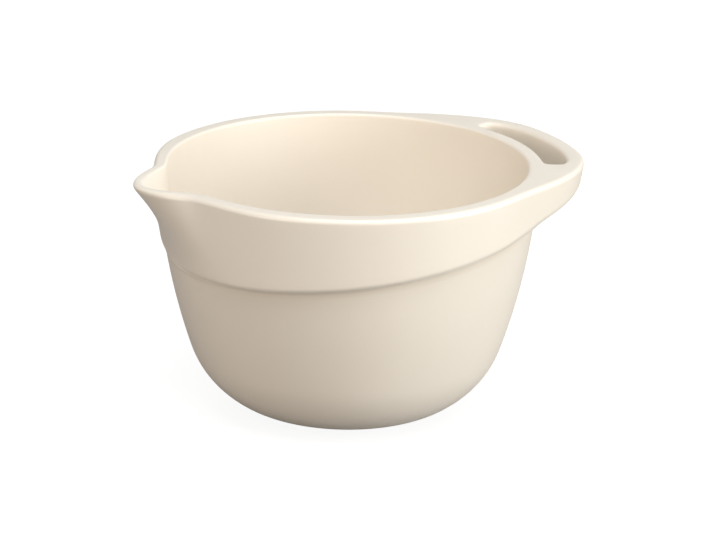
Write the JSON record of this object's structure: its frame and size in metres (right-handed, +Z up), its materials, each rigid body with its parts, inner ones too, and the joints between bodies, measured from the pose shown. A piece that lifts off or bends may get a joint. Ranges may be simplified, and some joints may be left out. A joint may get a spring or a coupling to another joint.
{
  "type": "batter bowl",
  "caption": "Deep glazed stoneware batter bowl with a raised rim band, a pinched pouring spout and a flat loop handle opposite it, standing on a bare foot ring.",
  "frame": {"origin": "on the bowl's axis, in the plane of the foot ring's underside", "axes": "+Z up through the rim, -X towards the tip of the spout, +X towards the end of the handle"},
  "size_m": [0.2845, 0.2426, 0.1555],
  "materials": {
    "glaze": "cream gloss glaze",
    "bare_clay": "unglazed, matt"
  },
  "bodies": {
    "root": {"bowl_base": "glaze", "bowl_wall": "glaze", "foot_ring": "bare_clay", "rim_band_left": "glaze", "rim_band_right": "glaze", "pouring_spout": "glaze", "loop_handle": "glaze"}
  },
  "joints": []
}
